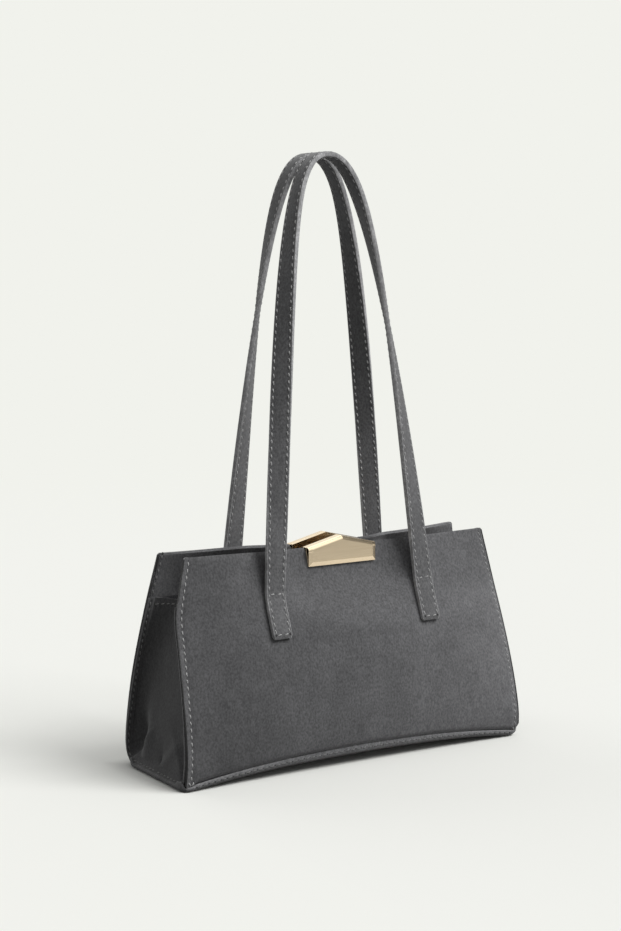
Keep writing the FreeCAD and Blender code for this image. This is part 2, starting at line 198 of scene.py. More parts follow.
# Top of the base's rim from its outer face inwards, as (inset, drop)
RIM_TOP = ((0.0, 0.6 * MM), (0.2 * MM, 0.15 * MM), (0.6 * MM, 0.0), (RIM_THICK - 0.5 * MM, 0.0),
           (RIM_THICK, 0.5 * MM))

# Gussets
GUSSET_THICK = 1.3 * MM
GUSSET_LOW = END_RIM - 0.2 * MM
GUSSET_CORNER = 8 * MM
GUSSET_RUB = 0.9 * MM
FLANGE_TIP = 0.2 * MM
FLANGE_WIDE = 5.0 * MM
FLANGE_SHARE = 0.25
FLANGE_ROW = 0.36
FLANGE_ROW_TRIM = 0.01
FLANGE_FACING = 0.6
FLANGE_GAP = GUSSET_THICK + 0.1 * MM
FLANGE_LEAN = 2.4 * MM
FOLD_FOOT = GUSSET_LOW + 8 * MM
FOLD_LOW = 5.5 * MM
FOLD_HIGH = 16 * MM
FOLD_CURVE = 1.2
FOLD_START_HIGH = 3.5 * MM
FOLD_START_LOW = 0.5 * MM
FOLD_FULL = 0.98
FOLD_HOLLOW = 0.45
SLACK_GROWTH = 4
SLACK_DROP = 40 * MM
GUSSET_BEND_OUT = 17.2 * MM
GUSSET_BEND_UP = 3.5 * MM
HEM_ROW = 3.2 * MM
HEM_PITCH = 0.85 * STITCH_PITCH
GUSSET_CLOTH_IN = 1.8 * MM
GUSSET_CLOTH_TRIM = 0.03

# Soft dents of the gussets, deep inwards. A slanted one moves to the front with height.
GUSSET_DENTS = (
    {"deep": 4.0 * MM, "across": 33 * MM, "wide": 7 * MM, "up": 20 * MM, "tall": 15 * MM, "slant": 0},
    {"deep": -2.2 * MM, "across": 21 * MM, "wide": 7 * MM, "up": 26 * MM, "tall": 20 * MM, "slant": 0},
    {"deep": -1.0 * MM, "across": -17 * MM, "wide": 6 * MM, "up": 22 * MM, "tall": 15 * MM, "slant": 1},
)

# Straps
STRAP_THICK = 3.5 * MM
STRAP_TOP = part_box("front_strap_outer")[1].z - STRAP_THICK / 2
STRAP_GAP = 0.2 * MM
SHOULDER_X = 39 * MM
SHOULDER_Z = STRAP_TOP - 60 * MM
CROWN_X = 28 * MM
CROWNS_MEET = 8.7 * MM
CROWNS_APART = 1.8 * MM
TWIST_END = 0.7
TWIST_CURVE = 1.575
SEWN_LEG = 0.1
STRAP_ROWS = 150
STRAP_STEP = 0.004
STRAP_END = 0.006
STRAP_END_NARROW = 0.12
STRAP_END_THIN = 0.55
# Pale edges of a strap: its edge paint and a painted highlight
STRAP_EDGE_PAINT_AND_HIGHLIGHT = 0.9 * MM
STRAP_EDGE_PAINT_AND_HIGHLIGHT_SOFT = 0.6 * MM
STRAP_BEND_LOW = SEWN_HIGH - 1 * MM
STRAP_BEND_HIGH = SEWN_HIGH + 9 * MM
STRAP_STITCH_IN = 2.0 * MM
STRAP_STITCH_SINK = 0.25 * MM
STRAP_ROW_END = 0.992
STRAP_PITCH = 4.9 * MM
CROSS_ROW_LIFT = 0.2 * MM

# Round edge of a strap, as (inset, share of half its thickness), the groove of a stitch row and the swell
STRAP_EDGE = ((0.0, 0.55), (0.25 * MM, 0.88), (0.8 * MM, 1.0))
STRAP_GROOVE = 1.4 * MM
STRAP_SWELL = 0.05 * MM
STRAP_SWELL_X = 0.4

# Clasp
CAP_STANDOFF = 2.3 * MM
CLASP_LEAN = 0.25
CAP_SHEET = 0.7 * MM
CAP_DEEP = 7.65 * MM
CAP_NOTCH = 6.6 * MM
BEVEL_DEEP = 0.95 * MM
BEVEL_LOW = 3.0 * MM
BEVEL_SIDE = 2.8 * MM
BEND_LOW = 3.3 * MM
BEND_DEEP = 3.2 * MM
BEND_STEPS = 20
SHOULDER_DROP = 6.5 * MM
LINER_THICK = 0.5 * MM
TAB_LONG = 7 * MM
TAB_GAP = 0.05 * MM
TAB_DROP = CAP_SHEET + 0.2 * MM
METAL_IN = 0.1 * MM
METAL_ROUND = 0.15 * MM

# Points of a mesh that are nearer than this are one
MERGE = 0.01 * MM

# What differs between the panels. A pair holds the left and the right value.
PANELS = {
    "front": {"side": -1, "draw_in": 0.8 * MM, "lean": 0.42, "edge_out": 0.0, "top_in": 0.7 * MM,
              "droop": 0.0, "edge_in": (1.5 * MM, 0.0), "low_corner": (2 * MM, 9 * MM),
              "inked": (0.3 * MM, 1.2 * MM)},
    "back": {"side": 1, "draw_in": 7.0 * MM, "lean": 0.35, "edge_out": 3.7 * MM, "top_in": 1.0 * MM,
             "droop": 1.6 * MM, "edge_in": (1.5 * MM, 1.5 * MM), "low_corner": (9 * MM, 9 * MM),
             "inked": (0.3 * MM, 0.3 * MM)},
}
for name, panel in PANELS.items():
    panel["clasp_depth"] = max(abs(corner.y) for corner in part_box(name + "_clasp_cap")) - CAP_STANDOFF


def mix(a, b, t):
    return a + (b - a) * t


def smooth(t):
    t = min(max(t, 0.0), 1.0)
    return t * t * (3 - 2 * t)


def softened(law, z):
    """A law of height with its corners eased."""
    return (law(z - TURN_SOFT) + 2 * law(z) + law(z + TURN_SOFT)) / 4


def hill(distance, reach):
    return math.exp(-(distance / reach) ** 2)


def curve(t, start, start_handle, end_handle, end):
    """Value or point on a curve with two handles, at t from 0 to 1."""
    near = start * (1 - t) ** 3 + start_handle * (3 * t * (1 - t) ** 2)
    return near + end_handle * (3 * t ** 2 * (1 - t)) + end * t ** 3


# Shape of the body


def half_length(z):
    def law(h):
        if h < NECK_Z:
            return mix(BASE_HALF, NECK_HALF, h / NECK_Z)
        return mix(NECK_HALF, TOP_HALF, (h - NECK_Z) / (BODY_TOP - NECK_Z))
    return softened(law, z)


def panel_half(panel, x, z):
    """Half length of a panel's own suede, on the side of x. Low down, the gusset's edge shows beside it."""
    upper = smooth((z - NECK_Z) / (BODY_TOP - NECK_Z))
    lower = 1 - smooth(z / EDGE_IN_TOP)
    return half_length(z) - panel["edge_in"][x > 0] * lower - panel["top_in"] * upper


def edge_depth(z):
    def law(h):
        if h < HIP_Z:
            return mix(FLOOR_EDGE, HIP_EDGE, h / HIP_Z)
        if h < NECK_Z:
            return mix(HIP_EDGE, NECK_EDGE, ((h - HIP_Z) / (NECK_Z - HIP_Z)) ** HIP_CURVE)
        return mix(NECK_EDGE, TOP_EDGE, (h - NECK_Z) / (BODY_TOP - NECK_Z))
    return softened(law, z)


def swell(z):
    return math.sin(math.pi * (max(z, 0.0) / BELLY_END) ** BELLY_CURVE)


def arch(x):
    """Height of the base's underside above the floor."""
    return ARCH_RISE * (1 - min(abs(x) / PAD_X, 1.0) ** ARCH_FULL) + RIGHT_LIFT * near_right(x)


def in_strip(x):
    """1 in a panel's left side strip, which runs down past the end of the base band, and 0 elsewhere."""
    return smooth((-x - BASE_HALF + STRIP) / STRIP_SOFT + 0.5)


def near_right(x):
    """Goes from 0 to 1 over the right side strip of a panel, which ends behind the base band."""
    return smooth((x - BASE_HALF + STRIP) / STRIP)


def rim_high(x):
    """Height of the base's rim, which runs out low at both ends."""
    band = mix(RIM_HIGH, RIM_LOW, min(abs(x) / BASE_HALF, 1.0) ** RIM_FALL)
    return mix(mix(band, END_RIM, in_strip(x)), RIGHT_RIM, near_right(x))


def panel_depth(panel, x, z):
    """Distance of a panel's outer face from the middle plane of the bag."""
    away = abs(x)
    reach = half_length(z)
    edge = edge_depth(z)
    drawn = max(0.0, z - SEWN_HIGH) / (BODY_TOP - SEWN_HIGH)
    strap = edge + BELLY_STRAP * swell(z) - panel["draw_in"] * drawn
    low = min(z, PULL_Z)
    body = edge_depth(low) + BELLY_MIDDLE * swell(low)
    middle = mix(body, panel["clasp_depth"], smooth((z - PULL_Z) / (CLASP_LOW - PULL_Z)))
    middle -= CLASP_LEAN * max(z - CLASP_LOW, 0.0)
    if away < STRAP_X:
        depth = mix(middle, strap, smooth((away - LAND_X) / (STRAP_X - LAND_X)))
    else:
        side = edge + panel["edge_out"] * smooth(z / HIP_Z)
        depth = mix(strap, side, ((away - STRAP_X) / (reach - STRAP_X)) ** 2)
    above_rim = z - arch(x) - rim_high(x)
    depth -= TUCK * (1 - smooth(above_rim / TUCK_RISE)) * (1 - in_strip(x))
    return depth - STITCH_SINK * hill(panel_half(panel, x, z) - away - STITCH_IN, STITCH_SPREAD)


def panel_point(panel, x, z, inward=0.0):
    return Vector((x, panel["side"] * (panel_depth(panel, x, z) - inward), z))


def corner_drop(over, radius):
    """How far a round corner lies from the straight edge, over past where its round starts."""
    over = min(max(over, 0.0), radius)
    return radius - math.sqrt(radius ** 2 - over ** 2)


def panel_top(panel, x):
    away = abs(x)
    top = BODY_TOP - TOP_DIP * (1 - smooth((away - LAND_X) / (TOP_HALF - LAND_X)))
    top -= corner_drop(away - TOP_HALF + panel["top_in"] + TOP_CORNER, TOP_CORNER)
    top -= panel["droop"] * smooth((-x - STRAP_X) / (TOP_HALF - STRAP_X))
    inside_clasp = 1 - smooth((away - CLASP_HALF + NOTCH_IN) / NOTCH_SOFT)
    return mix(top, BODY_TOP - CAP_NOTCH, inside_clasp)


def panel_low(panel, x):
    """Bottom edge of a panel: behind the base band, and on the base's low end rim in the side strips."""
    radius = panel["low_corner"][x > 0]
    corner = corner_drop(abs(x) - panel_half(panel, x, 0) + radius, radius)
    behind_band = arch(x) + mix(PANEL_LOW, END_LOW, near_right(x)) + corner * (x > 0)
    return mix(behind_band, GUSSET_LOW + corner, in_strip(x))


def crowded(u):
    """Share of the half length at a grid column. Columns crowd near the side edges."""
    column = abs(2 * u - 1) * (FIELD_COLUMNS / 2 + EDGE_COLUMNS)
    edge_share = EDGE_ZONE / BASE_HALF
    if column < FIELD_COLUMNS / 2:
        share = column / (FIELD_COLUMNS / 2) * (1 - edge_share)
    else:
        share = 1 - edge_share * (1 - (column - FIELD_COLUMNS / 2) / EDGE_COLUMNS)
    return math.copysign(share, u - 0.5)


# Mesh helpers


def grid(columns, rows, place, rub_and_light=None):
    """Grid mesh whose corners run from (0, 0) to (1, 1), each point moved to its place."""
    bm = bmesh.new()
    bmesh.ops.create_grid(bm, x_segments=columns, y_segments=rows, size=0.5)
    layer = bm.verts.layers.float.new("rub_and_light")
    for vert in bm.verts:
        u = vert.co.x + 0.5
        v = vert.co.y + 0.5
        vert[layer] = rub_and_light(u, v) if rub_and_light else 0.0
        vert.co = place(u, v)
    bm.normal_update()
    return bm


def thicken(bm, thickness):
    """Gives a sheet its thickness on its inner side. Its faces point outwards before."""
    bm.normal_update()
    bmesh.ops.solidify(bm, geom=bm.faces[:], thickness=thickness)
    bmesh.ops.recalc_face_normals(bm, faces=bm.faces[:])


def face_out(bm, out):
    """Turns the faces of a sheet to the side that a direction points to."""
    bmesh.ops.recalc_face_normals(bm, faces=bm.faces[:])
    if sum(f.normal.dot(out) * f.calc_area() for f in bm.faces) < 0:
        bmesh.ops.reverse_faces(bm, faces=bm.faces[:])


def join_seams(bm, fill=False):
    """Joins the edges of a grid that meet, fills its open ends if asked and turns its faces outwards."""
    bmesh.ops.remove_doubles(bm, verts=bm.verts[:], dist=MERGE)
    if fill:
        bmesh.ops.holes_fill(bm, edges=bm.edges[:], sides=0)
    bmesh.ops.recalc_face_normals(bm, faces=bm.faces[:])


def round_edges(bm, offset, segments, least_angle=50):
    """Rounds every edge that turns by more than an angle."""
    limit = math.radians(least_angle)
    edges = [e for e in bm.edges if len(e.link_faces) == 2 and e.calc_face_angle() > limit]
    bmesh.ops.bevel(bm, geom=edges, offset=offset, segments=segments, profile=0.5, affect="EDGES",
                    material=-1, clamp_overlap=True)


def mark_rub_and_light(bm, rub_and_light_at):
    """Stores at each point how much paler the suede is painted, from 0 to 1: for rubbed nap, and for light
    and highlights painted on its edges.
    """
    layer = bm.verts.layers.float["rub_and_light"]
    for vert in bm.verts:
        vert[layer] = rub_and_light_at(vert.co)


def to_mesh(name, bm):
    mesh = bpy.data.meshes.new(name)
    bm.to_mesh(mesh)
    bm.free()
    return mesh


def put(name, data):
    """New object in the scene."""
    obj = bpy.data.objects.new(name, data)
    bpy.context.scene.collection.objects.link(obj)
    return obj


def piece(name, bm, slot, *materials, sharp=40):
    for face in bm.faces:
        face.smooth = True
    mesh = to_mesh(name, bm)
    mesh.set_sharp_from_angle(angle=math.radians(sharp))
    for material in materials:
        mesh.materials.append(material)
    obj = put(name, mesh)
    return obj


# Materials

NOISE_RANGE = (0.3, 0.7)


def finish_nodes(name):
    """New material with its node tree and its shader."""
    material = bpy.data.materials.new(name)
    material.use_nodes = True
    tree = material.node_tree
    return material, tree, tree.nodes["Principled BSDF"]


def node(tree, kind, **values):
    made = tree.nodes.new("ShaderNode" + kind)
    for key, value in values.items():
        if key in made.inputs:
            made.inputs[key].default_value = value
        else:
            setattr(made, key, value)
    return made


def place_along(tree, axis):
    """The piece's own place along an axis."""
    split = node(tree, "SeparateXYZ")
    tree.links.new(node(tree, "TexCoord").outputs["Object"], split.inputs["Vector"])
    return split.outputs[axis]


def mapped(tree, **values):
    """The piece's own place, turned or stretched."""
    mapping = node(tree, "Mapping", **values)
    tree.links.new(node(tree, "TexCoord").outputs["Object"], mapping.inputs["Vector"])
    return mapping.outputs["Vector"]


def cloud(tree, scale, detail=2.0, stretch=(1, 1, 1), distortion=0.0):
    """Noise on the piece's own place, in patches of about 1 / scale metres."""
    noise = node(tree, "TexNoise", Scale=scale, Detail=detail, Distortion=distortion)
    tree.links.new(mapped(tree, Scale=stretch), noise.inputs["Vector"])
    return noise.outputs["Fac"]


def spread(tree, source, low, high, low_value, high_value):
    """Maps a value from one range to another."""
    made = node(tree, "MapRange")
    for key, value in (("From Min", low), ("From Max", high),
                       ("To Min", low_value), ("To Max", high_value)):
        made.inputs[key].default_value = value
    tree.links.new(source, made.inputs["Value"])
    return made.outputs["Result"]


def vary(tree, noise, low, high):
    """Turns noise into a value that varies between two others."""
    return spread(tree, noise, *NOISE_RANGE, low, high)


def combine(tree, operation, a, b):
    made = node(tree, "Math", operation=operation)
    tree.links.new(a, made.inputs[0])
    tree.links.new(b, made.inputs[1])
    return made.outputs["Value"]


def product(tree, a, b):
    return combine(tree, "MULTIPLY", a, b)


def greatest(tree, first, *others):
    for other in others:
        first = combine(tree, "MAXIMUM", first, other)
    return first


def blend_colors(tree, share, first, second):
    made = node(tree, "Mix", data_type="RGBA")
    tree.links.new(share, made.inputs["Factor"])
    made.inputs["A"].default_value = (*first, 1)
    made.inputs["B"].default_value = (*second, 1)
    return made.outputs["Result"]


def scale_color(tree, shader, light):
    """Puts a colour that is lightened and darkened into a shader, and returns the node that takes it."""
    scaled = node(tree, "VectorMath", operation="SCALE")
    tree.links.new(light, scaled.inputs["Scale"])
    tree.links.new(scaled.outputs["Vector"], shader.inputs["Base Color"])
    return scaled


def mottle(tree, shader, noise, shade, darkest):
    """Puts a colour into a shader that noise darkens, down to a share of it."""
    base = blend_colors(tree, vary(tree, noise, 0, 1), shade, [c * darkest for c in shade])
    tree.links.new(base, shader.inputs["Base Color"])


def bump_into(tree, shader, height, strength, distance):
    made = node(tree, "Bump", Strength=strength, Distance=distance)
    tree.links.new(height, made.inputs["Height"])
    tree.links.new(made.outputs["Normal"], shader.inputs["Normal"])


def suede(name, shade, rubbed_and_lit, painted_light_across=(1, 1)):
    """Suede with a short nap, paler where its nap is rubbed and where light and highlights are painted on its
    edges. The nap lies another way in soft patches, and painted light, when given, makes it darker on the
    left and lighter on the right."""
    material, tree, shader = finish_nodes(name)
    nap = cloud(tree, scale=800, detail=3, stretch=(1, 1, 0.7))
    brushed = cloud(tree, scale=130, detail=3, stretch=(1, 1, 0.5), distortion=1.2)
    patches = cloud(tree, scale=34, detail=4, distortion=0.6)
    drifts = cloud(tree, scale=13, detail=3, distortion=0.4)
    # Painted light: the suede is painted darker on the left and lighter on the right.
    light = spread(tree, place_along(tree, "X"), -BASE_HALF, BASE_HALF, *painted_light_across)
    shades = ((nap, 0.7, 1.3), (brushed, 0.92, 1.08), (patches, 0.9, 1.1), (drifts, 0.94, 1.06))
    for noise, low, high in shades:
        light = product(tree, light, vary(tree, noise, low, high))
    # The pale second shade stands for rubbed nap and for painted light and highlights on edges.
    rub_and_light = node(tree, "Attribute", attribute_name="rub_and_light")
    rubbed_and_lit_share = product(tree, rub_and_light.outputs["Fac"], vary(tree, brushed, 0.6, 1.0))
    base = blend_colors(tree, rubbed_and_lit_share, shade, rubbed_and_lit)
    tree.links.new(base, scale_color(tree, shader, light).inputs[0])
    tree.links.new(vary(tree, nap, 0.85, 1.0), shader.inputs["Roughness"])
    shader.inputs["Specular IOR Level"].default_value = 0.2
    shader.inputs["Sheen Weight"].default_value = 0.25
    shader.inputs["Sheen Roughness"].default_value = 0.5
    bump_into(tree, shader, nap, strength=0.5, distance=0.25 * MM)
    return material


def twill(name, shade):
    """Woven lining with a diagonal rib."""
    material, tree, shader = finish_nodes(name)
    rib = node(tree, "TexWave", Scale=260, Distortion=0.6, Detail=1.0)
    tree.links.new(mapped(tree, Rotation=(0, math.radians(35), 0)), rib.inputs["Vector"])
    ribbed = spread(tree, rib.outputs["Fac"], 0, 1, 0.75, 1.2)
    clouded = vary(tree, cloud(tree, scale=60, detail=3), 0.9, 1.1)
    scale_color(tree, shader, product(tree, ribbed, clouded)).inputs[0].default_value = shade
    shader.inputs["Roughness"].default_value = 0.8
    shader.inputs["Sheen Weight"].default_value = 0.15
    bump_into(tree, shader, rib.outputs["Fac"], strength=0.4, distance=0.15 * MM)
    return material


def gold(name, shade):
    """Plated metal with a fine brushed grain along the clasp and a few cloudy smears."""
    material, tree, shader = finish_nodes(name)
    grain = cloud(tree, scale=900, stretch=(0.04, 1, 1))
    smear = cloud(tree, scale=70, detail=3)
    shader.inputs["Metallic"].default_value = 1.0
    mottle(tree, shader, smear, shade, darkest=0.93)
    rough = product(tree, vary(tree, grain, 0.8, 1.2), vary(tree, smear, 0.15, 0.21))
    tree.links.new(rough, shader.inputs["Roughness"])
    bump_into(tree, shader, grain, strength=0.05, distance=0.05 * MM)
    return material


def thread(name, shade):
    """Twisted sewing thread."""
    material, tree, shader = finish_nodes(name)
    fibre = cloud(tree, scale=2600, stretch=(1, 1, 0.5))
    mottle(tree, shader, fibre, shade, darkest=0.6)
    shader.inputs["Roughness"].default_value = 0.6
    bump_into(tree, shader, fibre, strength=0.5, distance=0.1 * MM)
    return material


def board(name, shade):
    """Pressed board with fibres."""
    material, tree, shader = finish_nodes(name)
    fibre = cloud(tree, scale=220, detail=4, stretch=(0.3, 1, 1))
    mottle(tree, shader, fibre, shade, darkest=0.7)
    shader.inputs["Roughness"].default_value = 0.85
    bump_into(tree, shader, fibre, strength=0.3, distance=0.2 * MM)
    return material


def sintered(name, shade):
    """Grey magnet with a fine grain."""
    material, tree, shader = finish_nodes(name)
    grain = cloud(tree, scale=1500, detail=3)
    mottle(tree, shader, grain, shade, darkest=0.7)
    shader.inputs["Metallic"].default_value = 1.0
    tree.links.new(vary(tree, grain, 0.35, 0.55), shader.inputs["Roughness"])
    return material


# The body suede is painted darker on its left and lighter on its right (painted light). Its pale second shade is
# for rubbed nap and for light painted on its edges.
BODY_SUEDE = suede("body suede", (0.12, 0.12, 0.124), (0.157, 0.157, 0.161), painted_light_across=(0.76, 1.18))
# The base suede's pale second shade is the painted highlight along the rim's top.
BASE_SUEDE = suede("base suede", (0.14, 0.14, 0.144), (0.21, 0.21, 0.214))
EDGE_INK = suede("inked edge", (0.035, 0.035, 0.036), (0.035, 0.035, 0.036))
# A darker copy of the grey suede, painted shade, for the gussets and the base's ends.
SHADED_SUEDE = suede("shaded gusset suede", (0.078, 0.078, 0.08), (0.15, 0.15, 0.153))
# The strap suede's pale second shade is its edge paint together with a painted highlight on its edges.
STRAP_SUEDE = suede("strap suede", (0.128, 0.128, 0.131), (0.42, 0.42, 0.424))
LINING_TWILL = twill("lining twill", (0.05, 0.05, 0.054))
CLASP_GOLD = gold("champagne gold", (0.93, 0.76, 0.55))
SEWING_THREAD = thread("grey thread", (0.5, 0.5, 0.5))
# A darker copy of the grey thread, painted shade, used for the rows inside the panels, along the gussets and on
# the base band.
SHADED_THREAD = thread("shaded thread", (0.2, 0.2, 0.2))
# Near black: painted shade in the holes between stitches.
NEEDLE_HOLE_SHADE = thread("needle hole shade", (0.012, 0.012, 0.013))
FIBRE_BOARD = board("fibre board", (0.3, 0.24, 0.17))
MAGNET_GREY = sintered("magnet grey", (0.3, 0.3, 0.31))


# Stitching


def stitch_shapes():
    """One stitch along X that dips at both ends, and one flat dark cone that paints the shade in a stitch's hole,
    as meshes on the XY plane.
    """
    def place(u, v):
        turn = 2 * math.pi * u
        along = 2 * v - 1
        fat = STITCH_RADIUS * (1 - STITCH_TAPER * along ** 4)
        lift = STITCH_RADIUS * STITCH_RISE - STITCH_DIP * along ** 4
        return Vector((along * STITCH_LONG / 2, math.cos(turn) * fat, math.sin(turn) * fat + lift))

    bm = grid(columns=6, rows=4, place=place)
    join_seams(bm, fill=True)
    stitch = to_mesh("stitch", bm)
    bm = bmesh.new()
    # Painted shade: a flat dark cone stands for the shade in the hole.
    bmesh.ops.create_cone(bm, cap_ends=False, segments=6, radius1=HOLE_RADIUS, radius2=0.0, depth=HOLE_DEEP)
    for face in bm.faces:
        face.material_index = 1
    return stitch, to_mesh("hole", bm)


STITCH, HOLE_SHADE = stitch_shapes()
# A stitch in the darker copy of the thread, painted shade for the rows inside the panels.
SHADED_STITCH = STITCH.copy()
for polygon in SHADED_STITCH.polygons:
    polygon.material_index = 2


def add_shape(bm, shape, matrix):
    copy = shape.copy()
    copy.transform(matrix)
    bm.from_mesh(copy)
    bpy.data.meshes.remove(copy)


def sew(bm, path, pitch, shape=STITCH):
    """Row of slanted stitches along a path, a list of points with their outward normals."""
    lengths = [0.0]
    for (a, _), (b, _) in zip(path, path[1:]):
        lengths.append(lengths[-1] + (b - a).length)
    whole = lengths[-1]
    count = max(1, round(whole / pitch))
    slant = Matrix.Rotation(STITCH_SLANT, 4, "Z")

    def at(distance):
        k = next((i for i in range(1, len(lengths)) if lengths[i] >= distance), len(lengths) - 1)
        span = lengths[k] - lengths[k - 1]
        t = (distance - lengths[k - 1]) / span
        (a, n), (b, m) = path[k - 1], path[k]
        along = (b - a).normalized()
        return stitch_place(a.lerp(b, t), along, n.lerp(m, t))

    for k in range(count):
        add_shape(bm, shape, at((k + 0.5) * whole / count) @ slant)
    for k in range(count + 1):
        add_shape(bm, HOLE_SHADE, at(min(k * whole / count, whole * LAST_HOLE)))


def stitch_place(point, along, out):
    """Matrix that lays a stitch on a surface, along a direction and with its top outwards."""
    out = (out - along * out.dot(along)).normalized()
    matrix = Matrix((along, out.cross(along), out)).transposed().to_4x4()
    matrix.translation = point
    return matrix


def row_on(place, points, outward):
    """Points of a stitch row on a surface, with normals that point the outward way."""
    step = 0.2 * MM
    path = []
    for a, b in points:
        across = place(a + step, b) - place(a - step, b)
        up = place(a, b + step) - place(a, b - step)
        normal = across.cross(up).normalized()
        if normal.dot(outward) < 0:
            normal = -normal
        path.append((place(a, b), normal))
    return path


# Panels


def neck_bend(obj, name):
    """Bends a piece between the panel and its soft neck, above the sewn ends of the straps."""
    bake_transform(obj, name, name + "_neck", start=(0, 0, SEWN_HIGH), end=(0, 0, CLASP_LOW))


def even(u):
    return 2 * u - 1


def panel_grid(panel, inward, inset, low_of, top_of, columns, rows, spacing=even):
    """Sheet that follows a panel at a depth below its outer face."""
    def place(u, v):
        share = spacing(u if panel["side"] < 0 else 1 - u)
        z = mix(low_of(0), BODY_TOP, v)
        for _ in range(2):
            x = share * (panel_half(panel, share, z) - inset)
            z = mix(low_of(x), top_of(x), v)
        return panel_point(panel, share * (panel_half(panel, share, z) - inset), z, inward)
    return grid(columns, rows, place)


def suede_panel(name, panel):
    columns = FIELD_COLUMNS + 2 * EDGE_COLUMNS
    bm = panel_grid(panel, 0, 0, lambda x: panel_low(panel, x), lambda x: panel_top(panel, x),
                    columns, PANEL_ROWS, crowded)
    thicken(bm, PANEL_THICK)
    round_edges(bm, EDGE_ROUND, segments=3)

    # Painted light: paler along the side edges, and a painted highlight along the top edge that reaches deeper on
    # the left.
    def rub_and_light_at(co):
        side = 1 - smooth((panel_half(panel, co.x, co.z) - abs(co.x) - SIDE_PAINTED_LIGHT) / SIDE_PAINTED_LIGHT_SOFT)
        left = smooth((-co.x - LAND_X) / (STRAP_X - LAND_X))
        below = panel_top(panel, co.x) - co.z
        top = mix(TOP_HIGHLIGHT, 1, left) * (1 - smooth(below / mix(TOP_HIGHLIGHT_DEEP, LEFT_HIGHLIGHT_DEEP, left)))
        return max(side, top)

    mark_rub_and_light(bm, rub_and_light_at)
    for face in bm.faces:
        centre = face.calc_center_median()
        edge = panel_half(panel, centre.x, centre.z) - abs(centre.x)
        face.material_index = int(edge < panel["inked"][centre.x > 0])
    obj = piece(name + "_suede", bm, "suede", BODY_SUEDE, EDGE_INK)
    neck_bend(obj, name)
    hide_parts(name + "_panel", name + "_neck", name + "_stiffener")


def edge_stitches(name, panel):
    """Rows down both side edges, tacked at the base, and the same rows on the inside above the gussets."""
    bm = bmesh.new()
    outward = Vector((0, panel["side"], 0))
    steps = 60

    def outer(x, z):
        return panel_point(panel, x, z)

    def inner(x, z):
        return panel_point(panel, x, z, PANEL_THICK + FACING_THICK + INNER_STITCH_LIFT)

    rows = ((outer, GUSSET_LOW + EDGE_ROW_LOW, outward, STITCH_IN, STITCH),
            (inner, HEM_Z + EDGE_ROW_END, -outward, INNER_STITCH_IN, SHADED_STITCH))
    for end in (-1, 1):
        for place, low, normal, inset, shape in rows:
            spots = [mix(low, BODY_TOP - EDGE_ROW_END, k / steps) for k in range(steps + 1)]
            row = [(end * (panel_half(panel, end, z) - inset), z) for z in spots]
            sew(bm, row_on(place, row, normal), STITCH_PITCH, shape)
        foot = GUSSET_LOW + TACK_UP
        for lean in (-1, 1):
            x = end * (panel_half(panel, end, foot) - STITCH_IN) + lean * TACK_APART
            along = Vector((lean * TACK_LEAN, 0, 1)).normalized()
            add_shape(bm, STITCH, stitch_place(outer(x, foot) + outward * TACK_LIFT, along, outward))
    obj = piece(name + "_edge_stitches", bm, "suede", SEWING_THREAD, NEEDLE_HOLE_SHADE, SHADED_THREAD)
    neck_bend(obj, name)


def facing_strip(name, panel):
    bm = panel_grid(panel, PANEL_THICK + FACING_GAP, FACING_IN, lambda x: FACING_LOW,
                    lambda x: panel_top(panel, x) - FACING_DROP, columns=100, rows=18)
    thicken(bm, FACING_THICK)
    # Painted light: the facing is painted paler towards its top edge, for light that reaches it there.
    mark_rub_and_light(bm, lambda co: 1 - smooth((panel_top(panel, co.x) - co.z) / FACING_PAINTED_LIGHT))
    obj = piece(name + "_facing_strip", bm, "suede", BODY_SUEDE)
    neck_bend(obj, name)
    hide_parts(name + "_facing")


def lining(name, panel):
    bm = panel_grid(panel, PANEL_THICK + LINING_GAP, LINING_IN, lambda x: arch(x) + LINING_LOW,
                    lambda x: LINING_TOP, columns=80, rows=40)
    thicken(bm, LINING_THICK)
    obj = piece(name + "_lining_cloth", bm, "lining", LINING_TWILL)
    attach(obj, name)
    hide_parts(name + "_lining")


def pocket():
    panel = PANELS["back"]
    low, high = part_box("slip_pocket")
    inward = PANEL_THICK + LINING_GAP + POCKET_OFF

    def place(u, v):
        x = mix(high.x, low.x, u)
        z = mix(low.z, high.z, v)
        slack = POCKET_SLACK * math.sin(math.pi * u) * smooth(v)
        return panel_point(panel, x, z, inward + slack)

    bm = grid(columns=48, rows=24, place=place)
    thicken(bm, POCKET_THICK)
    obj = piece("pocket_cloth", bm, "lining", LINING_TWILL)
    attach(obj, "back")
    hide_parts("slip_pocket")


# Base


def tray_rim():
    """Points round the base's outline with their outward directions, rounder at the back corners."""
    corners = []
    for k, (end, side) in enumerate(((1, -1), (1, 1), (-1, 1), (-1, -1))):
        radius = FRONT_CORNER if side < 0 else BACK_CORNER
        half = TRAY_HALF - (RIGHT_IN if end > 0 else 0.0)
        centre = Vector((end * (half - radius), side * (RIM_OUT - radius)))
        for j in range(CORNER_STEPS + 1):
            turn = math.radians(90 * (k - 1) + 90 * j / CORNER_STEPS)
            out = Vector((math.cos(turn), math.sin(turn)))
            corners.append((centre + out * radius, out))
    rim = []
    for (a, out), (b, _) in zip(corners, corners[1:] + corners[:1]):
        steps = max(1, round((b - a).length / RIM_STEP))
        rim += [(a.lerp(b, j / steps), out) for j in range(steps)]
    return rim


